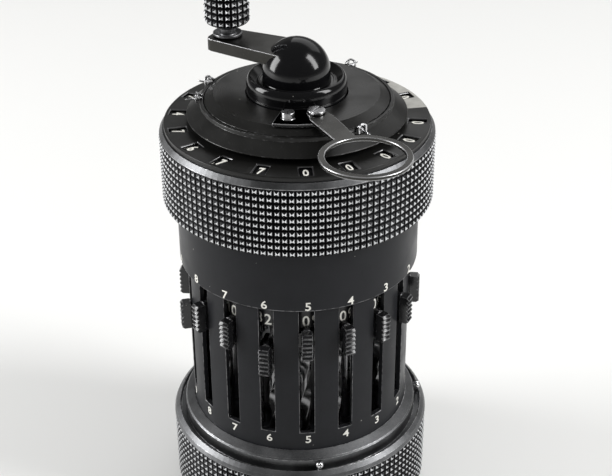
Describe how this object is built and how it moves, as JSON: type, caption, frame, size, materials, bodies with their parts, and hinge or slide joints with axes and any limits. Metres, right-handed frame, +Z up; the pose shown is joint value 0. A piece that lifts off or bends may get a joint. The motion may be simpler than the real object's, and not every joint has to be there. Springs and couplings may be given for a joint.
{
  "type": "mechanical calculator",
  "caption": "Hand-held cylindrical stepped-drum calculating machine with setting sliders, a turning dial carriage, a clearing lever and a crank on top.",
  "frame": {"origin": "middle of the base's flat underside, on the main shaft's axis", "axes": "+Z up along the main shaft; -Y the front, midway between setting sliders 4 and 5; +X to the right seen from the front"},
  "size_m": [0.0538, 0.0673, 0.1173],
  "materials": {
    "grey_paint": "painted matt dark neutral grey",
    "knurled_metal": "satin, burnished grey with bright knurl tips",
    "black_satin": "satin black",
    "black_gloss": "polished black",
    "knob_black": "matt black",
    "steel": "bare satin steel",
    "lever_steel": "dark satin, edges bright",
    "chrome": "polished",
    "dial_black": "matt black with white figures",
    "drum_metal": "machined"
  },
  "bodies": {
    "frame": {"barrel": "grey_paint", "upper_band": "grey_paint", "base_ring": "knurled_metal", "base_cover": "black_satin", "transmission_shafts": "steel"},
    "slider_1_body": {"slider_1": "knob_black"},
    "spindle_1_body": {"spindle_1": "steel"},
    "slider_2_body": {"slider_2": "knob_black"},
    "spindle_2_body": {"spindle_2": "steel"},
    "slider_3_body": {"slider_3": "knob_black"},
    "spindle_3_body": {"spindle_3": "steel"},
    "slider_4_body": {"slider_4": "knob_black"},
    "spindle_4_body": {"spindle_4": "steel"},
    "slider_5_body": {"slider_5": "knob_black"},
    "spindle_5_body": {"spindle_5": "steel"},
    "slider_6_body": {"slider_6": "knob_black"},
    "spindle_6_body": {"spindle_6": "steel"},
    "slider_7_body": {"slider_7": "knob_black"},
    "spindle_7_body": {"spindle_7": "steel"},
    "slider_8_body": {"slider_8": "knob_black"},
    "spindle_8_body": {"spindle_8": "steel"},
    "slider_9_body": {"slider_9": "knob_black"},
    "spindle_9_body": {"spindle_9": "steel"},
    "reversing_body": {"reversing_lever": "knob_black"},
    "base_marker_1_body": {"base_marker_1": "chrome"},
    "base_marker_2_body": {"base_marker_2": "chrome"},
    "guide": {"carriage_guide": "steel"},
    "carriage": {"carriage_ring": "knurled_metal", "dial_plate": "black_satin", "top_cone": "black_satin"},
    "result_dial_1_body": {"result_dial_1": "dial_black"},
    "result_dial_2_body": {"result_dial_2": "dial_black"},
    "result_dial_3_body": {"result_dial_3": "dial_black"},
    "result_dial_4_body": {"result_dial_4": "dial_black"},
    "result_dial_5_body": {"result_dial_5": "dial_black"},
    "result_dial_6_body": {"result_dial_6": "dial_black"},
    "result_dial_7_body": {"result_dial_7": "dial_black"},
    "result_dial_8_body": {"result_dial_8": "dial_black"},
    "result_dial_9_body": {"result_dial_9": "dial_black"},
    "result_dial_10_body": {"result_dial_10": "dial_black"},
    "result_dial_11_body": {"result_dial_11": "dial_black"},
    "counter_dial_1_body": {"counter_dial_1": "dial_black"},
    "counter_dial_2_body": {"counter_dial_2": "dial_black"},
    "counter_dial_3_body": {"counter_dial_3": "dial_black"},
    "counter_dial_4_body": {"counter_dial_4": "dial_black"},
    "counter_dial_5_body": {"counter_dial_5": "dial_black"},
    "counter_dial_6_body": {"counter_dial_6": "dial_black"},
    "top_marker_1_body": {"top_marker_1": "chrome"},
    "top_marker_2_body": {"top_marker_2": "chrome"},
    "top_marker_3_body": {"top_marker_3": "chrome"},
    "top_marker_4_body": {"top_marker_4": "chrome"},
    "clearing_disc_body": {"clearing_disc": "black_satin", "lever_plate": "black_satin"},
    "clearing_lever_body": {"clearing_lever": "lever_steel"},
    "bush": {"crank_collar": "black_gloss"},
    "crank": {"main_shaft": "steel", "step_drum": "drum_metal", "crank_hub": "black_gloss", "crank_arm": "lever_steel"},
    "grip": {"handle_grip": "knurled_metal"}
  },
  "joints": [
    {"name": "slider_1_slide", "type": "slide", "parent": "frame", "child": "slider_1_body", "axis": [0, 0, 1], "range_m": [-0.018, 0]},
    {"name": "spindle_1_spin", "type": "hinge", "parent": "frame", "child": "spindle_1_body", "pos_m": [0.01693, -0.00616, 0.04], "axis": [0, 0, 1], "range_deg": [-0.5, 324.5]},
    {"name": "slider_2_slide", "type": "slide", "parent": "frame", "child": "slider_2_body", "axis": [0, 0, 1], "range_m": [-0.018, 0]},
    {"name": "spindle_2_spin", "type": "hinge", "parent": "frame", "child": "spindle_2_body", "pos_m": [0.0138, -0.01158, 0.04], "axis": [0, 0, 1], "range_deg": [-0.5, 324.5]},
    {"name": "slider_3_slide", "type": "slide", "parent": "frame", "child": "slider_3_body", "axis": [0, 0, 1], "range_m": [-0.018, 0]},
    {"name": "spindle_3_spin", "type": "hinge", "parent": "frame", "child": "spindle_3_body", "pos_m": [0.00901, -0.01561, 0.04], "axis": [0, 0, 1], "range_deg": [-0.5, 324.5]},
    {"name": "slider_4_slide", "type": "slide", "parent": "frame", "child": "slider_4_body", "axis": [0, 0, 1], "range_m": [-0.018, 0]},
    {"name": "spindle_4_spin", "type": "hinge", "parent": "frame", "child": "spindle_4_body", "pos_m": [0.00313, -0.01775, 0.04], "axis": [0, 0, 1], "range_deg": [-0.5, 324.5]},
    {"name": "slider_5_slide", "type": "slide", "parent": "frame", "child": "slider_5_body", "axis": [0, 0, 1], "range_m": [-0.018, 0]},
    {"name": "spindle_5_spin", "type": "hinge", "parent": "frame", "child": "spindle_5_body", "pos_m": [-0.00313, -0.01775, 0.04], "axis": [0, 0, 1], "range_deg": [-0.5, 324.5]},
    {"name": "slider_6_slide", "type": "slide", "parent": "frame", "child": "slider_6_body", "axis": [0, 0, 1], "range_m": [-0.014, 0.004]},
    {"name": "spindle_6_spin", "type": "hinge", "parent": "frame", "child": "spindle_6_body", "pos_m": [-0.00901, -0.01561, 0.04], "axis": [0, 0, 1], "range_deg": [-72.5, 252.5]},
    {"name": "slider_7_slide", "type": "slide", "parent": "frame", "child": "slider_7_body", "axis": [0, 0, 1], "range_m": [-0.018, 0]},
    {"name": "spindle_7_spin", "type": "hinge", "parent": "frame", "child": "spindle_7_body", "pos_m": [-0.0138, -0.01158, 0.04], "axis": [0, 0, 1], "range_deg": [-0.5, 324.5]},
    {"name": "slider_8_slide", "type": "slide", "parent": "frame", "child": "slider_8_body", "axis": [0, 0, 1], "range_m": [-0.018, 0]},
    {"name": "spindle_8_spin", "type": "hinge", "parent": "frame", "child": "spindle_8_body", "pos_m": [-0.01693, -0.00616, 0.04], "axis": [0, 0, 1], "range_deg": [-0.5, 324.5]},
    {"name": "slider_9_slide", "type": "slide", "parent": "frame", "child": "slider_9_body", "axis": [0, 0, 1], "range_m": [-0.014, 0.004]},
    {"name": "spindle_9_spin", "type": "hinge", "parent": "frame", "child": "spindle_9_body", "pos_m": [-0.01802, 0, 0.04], "axis": [0, 0, 1], "range_deg": [-72.5, 252.5]},
    {"name": "reversing_slide", "type": "slide", "parent": "frame", "child": "reversing_body", "axis": [0, 0, 1], "range_m": [-0.005, 0]},
    {"name": "base_marker_1_turn", "type": "hinge", "parent": "frame", "child": "base_marker_1_body", "pos_m": [0, 0, 0.02], "axis": [0, 0, 1], "range_deg": [-60, 60]},
    {"name": "base_marker_2_turn", "type": "hinge", "parent": "frame", "child": "base_marker_2_body", "pos_m": [0, 0, 0.02], "axis": [0, 0, 1], "range_deg": [-20, 90]},
    {"name": "carriage_lift", "type": "slide", "parent": "frame", "child": "guide", "axis": [0, 0, 1], "range_m": [0, 0.002], "stiffness_N_per_m": 1500, "springref_m": -0.002},
    {"name": "carriage_turn", "type": "hinge", "parent": "guide", "child": "carriage", "pos_m": [0, 0, 0.08], "axis": [0, 0, 1], "range_deg": [0, 100]},
    {"name": "result_dial_1_spin", "type": "hinge", "parent": "carriage", "child": "result_dial_1_body", "pos_m": [0.01776, -0.00646, 0.08135], "axis": [0.9397, -0.342, 0], "continuous": true},
    {"name": "result_dial_2_spin", "type": "hinge", "parent": "carriage", "child": "result_dial_2_body", "pos_m": [0.01448, -0.01215, 0.08135], "axis": [0.766, -0.6428, 0], "continuous": true},
    {"name": "result_dial_3_spin", "type": "hinge", "parent": "carriage", "child": "result_dial_3_body", "pos_m": [0.00945, -0.01637, 0.08135], "axis": [0.5, -0.866, 0], "continuous": true},
    {"name": "result_dial_4_spin", "type": "hinge", "parent": "carriage", "child": "result_dial_4_body", "pos_m": [0.00328, -0.01861, 0.08135], "axis": [0.1736, -0.9848, 0], "continuous": true},
    {"name": "result_dial_5_spin", "type": "hinge", "parent": "carriage", "child": "result_dial_5_body", "pos_m": [-0.00328, -0.01861, 0.08135], "axis": [-0.1736, -0.9848, 0], "continuous": true},
    {"name": "result_dial_6_spin", "type": "hinge", "parent": "carriage", "child": "result_dial_6_body", "pos_m": [-0.00945, -0.01637, 0.08135], "axis": [-0.5, -0.866, 0], "continuous": true},
    {"name": "result_dial_7_spin", "type": "hinge", "parent": "carriage", "child": "result_dial_7_body", "pos_m": [-0.01448, -0.01215, 0.08135], "axis": [-0.766, -0.6428, 0], "continuous": true},
    {"name": "result_dial_8_spin", "type": "hinge", "parent": "carriage", "child": "result_dial_8_body", "pos_m": [-0.01776, -0.00646, 0.08135], "axis": [-0.9397, -0.342, 0], "continuous": true},
    {"name": "result_dial_9_spin", "type": "hinge", "parent": "carriage", "child": "result_dial_9_body", "pos_m": [-0.0189, 0, 0.08135], "axis": [-1, 0, 0], "continuous": true},
    {"name": "result_dial_10_spin", "type": "hinge", "parent": "carriage", "child": "result_dial_10_body", "pos_m": [-0.01776, 0.00646, 0.08135], "axis": [-0.9397, 0.342, 0], "continuous": true},
    {"name": "result_dial_11_spin", "type": "hinge", "parent": "carriage", "child": "result_dial_11_body", "pos_m": [-0.01448, 0.01215, 0.08135], "axis": [-0.766, 0.6428, 0], "continuous": true},
    {"name": "counter_dial_1_spin", "type": "hinge", "parent": "carriage", "child": "counter_dial_1_body", "pos_m": [0.01861, 0.00328, 0.08135], "axis": [0.9848, 0.1736, 0], "continuous": true},
    {"name": "counter_dial_2_spin", "type": "hinge", "parent": "carriage", "child": "counter_dial_2_body", "pos_m": [0.01637, 0.00945, 0.08135], "axis": [0.866, 0.5, 0], "continuous": true},
    {"name": "counter_dial_3_spin", "type": "hinge", "parent": "carriage", "child": "counter_dial_3_body", "pos_m": [0.01215, 0.01448, 0.08135], "axis": [0.6428, 0.766, 0], "continuous": true},
    {"name": "counter_dial_4_spin", "type": "hinge", "parent": "carriage", "child": "counter_dial_4_body", "pos_m": [0.00646, 0.01776, 0.08135], "axis": [0.342, 0.9397, 0], "continuous": true},
    {"name": "counter_dial_5_spin", "type": "hinge", "parent": "carriage", "child": "counter_dial_5_body", "pos_m": [0, 0.0189, 0.08135], "axis": [0, 1, 0], "continuous": true},
    {"name": "counter_dial_6_spin", "type": "hinge", "parent": "carriage", "child": "counter_dial_6_body", "pos_m": [-0.00646, 0.01776, 0.08135], "axis": [-0.342, 0.9397, 0], "continuous": true},
    {"name": "top_marker_1_turn", "type": "hinge", "parent": "carriage", "child": "top_marker_1_body", "pos_m": [0, 0, 0.089], "axis": [0, 0, 1], "range_deg": [-50, 40]},
    {"name": "top_marker_2_turn", "type": "hinge", "parent": "carriage", "child": "top_marker_2_body", "pos_m": [0, 0, 0.089], "axis": [0, 0, 1], "range_deg": [-9, 60]},
    {"name": "top_marker_3_turn", "type": "hinge", "parent": "carriage", "child": "top_marker_3_body", "pos_m": [0, 0, 0.089], "axis": [0, 0, 1], "range_deg": [-40, 9]},
    {"name": "top_marker_4_turn", "type": "hinge", "parent": "carriage", "child": "top_marker_4_body", "pos_m": [0, 0, 0.089], "axis": [0, 0, 1], "range_deg": [-40, 40]},
    {"name": "clearing_turn", "type": "hinge", "parent": "carriage", "child": "clearing_disc_body", "pos_m": [0, 0, 0.089], "axis": [0, 0, 1], "continuous": true},
    {"name": "clearing_fold", "type": "hinge", "parent": "clearing_disc_body", "child": "clearing_lever_body", "pos_m": [0.00035, -0.0134, 0.09105], "axis": [0, 0, 1], "range_deg": [0, 105]},
    {"name": "crank_turn", "type": "hinge", "parent": "frame", "child": "bush", "pos_m": [0, 0, 0.085], "axis": [0, 0, 1], "continuous": true},
    {"name": "crank_pull", "type": "slide", "parent": "bush", "child": "crank", "axis": [0, 0, 1], "range_m": [0, 0.003]},
    {"name": "grip_spin", "type": "hinge", "parent": "crank", "child": "grip", "pos_m": [-0.01093, 0.01027, 0.1], "axis": [0, 0, 1], "continuous": true}
  ],
  "couplings": [
    {"joint": "spindle_1_spin", "follows": "slider_1_slide", "rad_per_m": -314.16},
    {"joint": "spindle_2_spin", "follows": "slider_2_slide", "rad_per_m": -314.16},
    {"joint": "spindle_3_spin", "follows": "slider_3_slide", "rad_per_m": -314.16},
    {"joint": "spindle_4_spin", "follows": "slider_4_slide", "rad_per_m": -314.16},
    {"joint": "spindle_5_spin", "follows": "slider_5_slide", "rad_per_m": -314.16},
    {"joint": "spindle_6_spin", "follows": "slider_6_slide", "rad_per_m": -314.16},
    {"joint": "spindle_7_spin", "follows": "slider_7_slide", "rad_per_m": -314.16},
    {"joint": "spindle_8_spin", "follows": "slider_8_slide", "rad_per_m": -314.16},
    {"joint": "spindle_9_spin", "follows": "slider_9_slide", "rad_per_m": -314.16}
  ]
}
